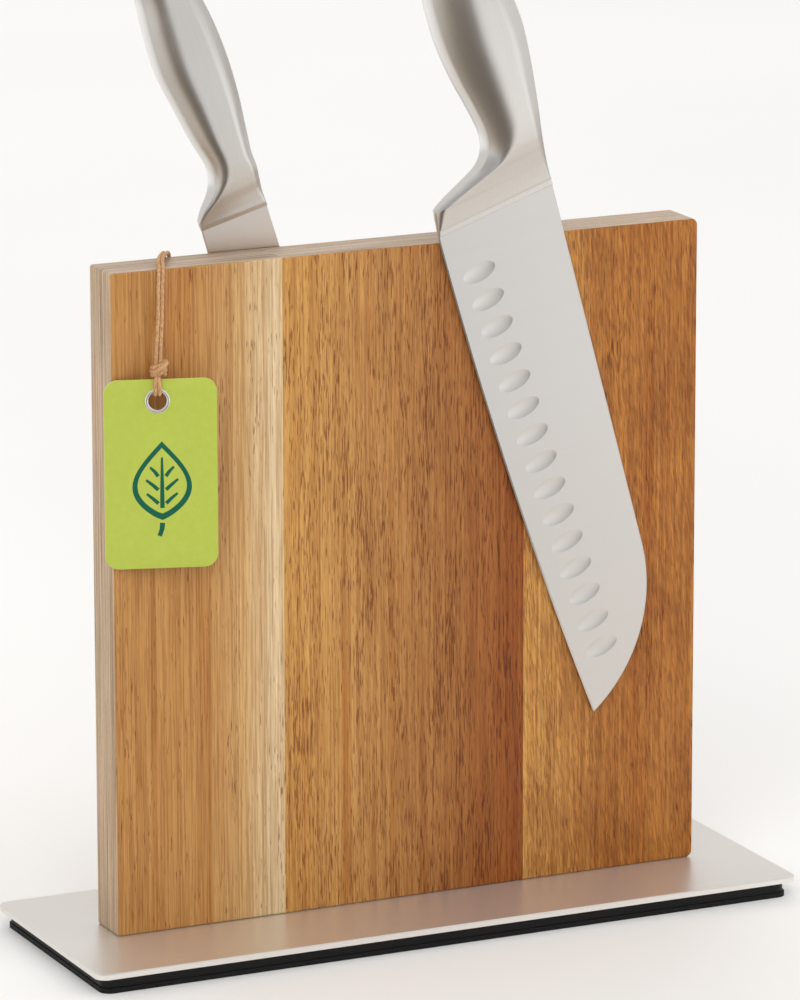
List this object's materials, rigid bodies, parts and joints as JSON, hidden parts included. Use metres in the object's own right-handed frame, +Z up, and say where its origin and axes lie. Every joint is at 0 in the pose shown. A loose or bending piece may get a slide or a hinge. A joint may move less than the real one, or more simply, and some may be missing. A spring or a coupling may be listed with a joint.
{
  "type": "knife block with knives",
  "caption": "Upright magnetic wooden knife block on a flat steel base, with a santoku knife on its front, a utility knife on its back and a plain hang tag on a cord.",
  "frame": {"origin": "under the middle of the base, on the surface the block stands on", "axes": "+X to the right along the board, +Y to the back, +Z up"},
  "size_m": [0.265, 0.092, 0.3763],
  "materials": {
    "wood_left": "oiled, straight grain",
    "wood_middle": "oiled, dark pores",
    "wood_right": "oiled, mottled",
    "magnet": "nickel plated",
    "base_steel": "brushed lengthways",
    "base_core": "matt black",
    "rubber": "matt",
    "screw": "zinc plated",
    "blade_steel": "fine satin",
    "handle_steel": "satin",
    "tag_card": "coated card",
    "eyelet": "bright",
    "cord": "waxed twisted cord",
    "seal": "kraft paper"
  },
  "bodies": {
    "block": {"front_stave_left": "wood_left", "front_stave_middle": "wood_middle", "front_stave_right": "wood_right", "back_stave_left": "wood_left", "back_stave_middle": "wood_middle", "back_stave_right": "wood_right", "front_magnet_1_low": "magnet", "front_magnet_1_high": "magnet", "front_magnet_2_low": "magnet", "front_magnet_2_high": "magnet", "front_magnet_3_low": "magnet", "front_magnet_3_high": "magnet", "front_magnet_4_low": "magnet", "front_magnet_4_high": "magnet", "front_magnet_5_low": "magnet", "front_magnet_5_high": "magnet", "front_magnet_6_low": "magnet", "front_magnet_6_high": "magnet", "front_magnet_7_low": "magnet", "front_magnet_7_high": "magnet", "back_magnet_1_low": "magnet", "back_magnet_1_high": "magnet", "back_magnet_2_low": "magnet", "back_magnet_2_high": "magnet", "back_magnet_3_low": "magnet", "back_magnet_3_high": "magnet", "back_magnet_4_low": "magnet", "back_magnet_4_high": "magnet", "back_magnet_5_low": "magnet", "back_magnet_5_high": "magnet", "back_magnet_6_low": "magnet", "back_magnet_6_high": "magnet", "back_magnet_7_low": "magnet", "back_magnet_7_high": "magnet", "base_rubber_sheet": "rubber", "base_core": "base_core", "base_plate": "base_steel", "base_screws": "screw", "cord_seal": "seal", "cord_left_rear": "cord", "cord_right_rear": "cord"},
    "santoku": {"santoku_blade": "blade_steel", "santoku_handle_front": "handle_steel", "santoku_handle_back": "handle_steel"},
    "utility_knife": {"utility_blade": "blade_steel", "utility_handle_front": "handle_steel", "utility_handle_back": "handle_steel"},
    "hanging_cord": {"cord_left_front": "cord", "cord_right_front": "cord", "cord_left_loop": "cord", "cord_right_loop": "cord", "tag_knot": "cord"},
    "hang_tag": {"tag_card": "tag_card", "tag_eyelet": "eyelet", "tag_washer": "eyelet"}
  },
  "joints": [
    {"name": "santoku_pull", "type": "slide", "parent": "block", "child": "santoku", "axis": [0, -1, 0], "range_m": [0, 0.08]},
    {"name": "utility_pull", "type": "slide", "parent": "block", "child": "utility_knife", "axis": [0, 1, 0], "range_m": [0, 0.08]},
    {"name": "tag_lift", "type": "hinge", "parent": "block", "child": "hanging_cord", "pos_m": [-0.092, -0.0082, 0.2369], "axis": [-1, 0, 0], "range_deg": [0, 75]},
    {"name": "tag_rock", "type": "hinge", "parent": "hanging_cord", "child": "hang_tag", "pos_m": [-0.09566, -0.01421, 0.1943], "axis": [-0.2924, -0.9563, 0], "range_deg": [-8, 8]}
  ]
}
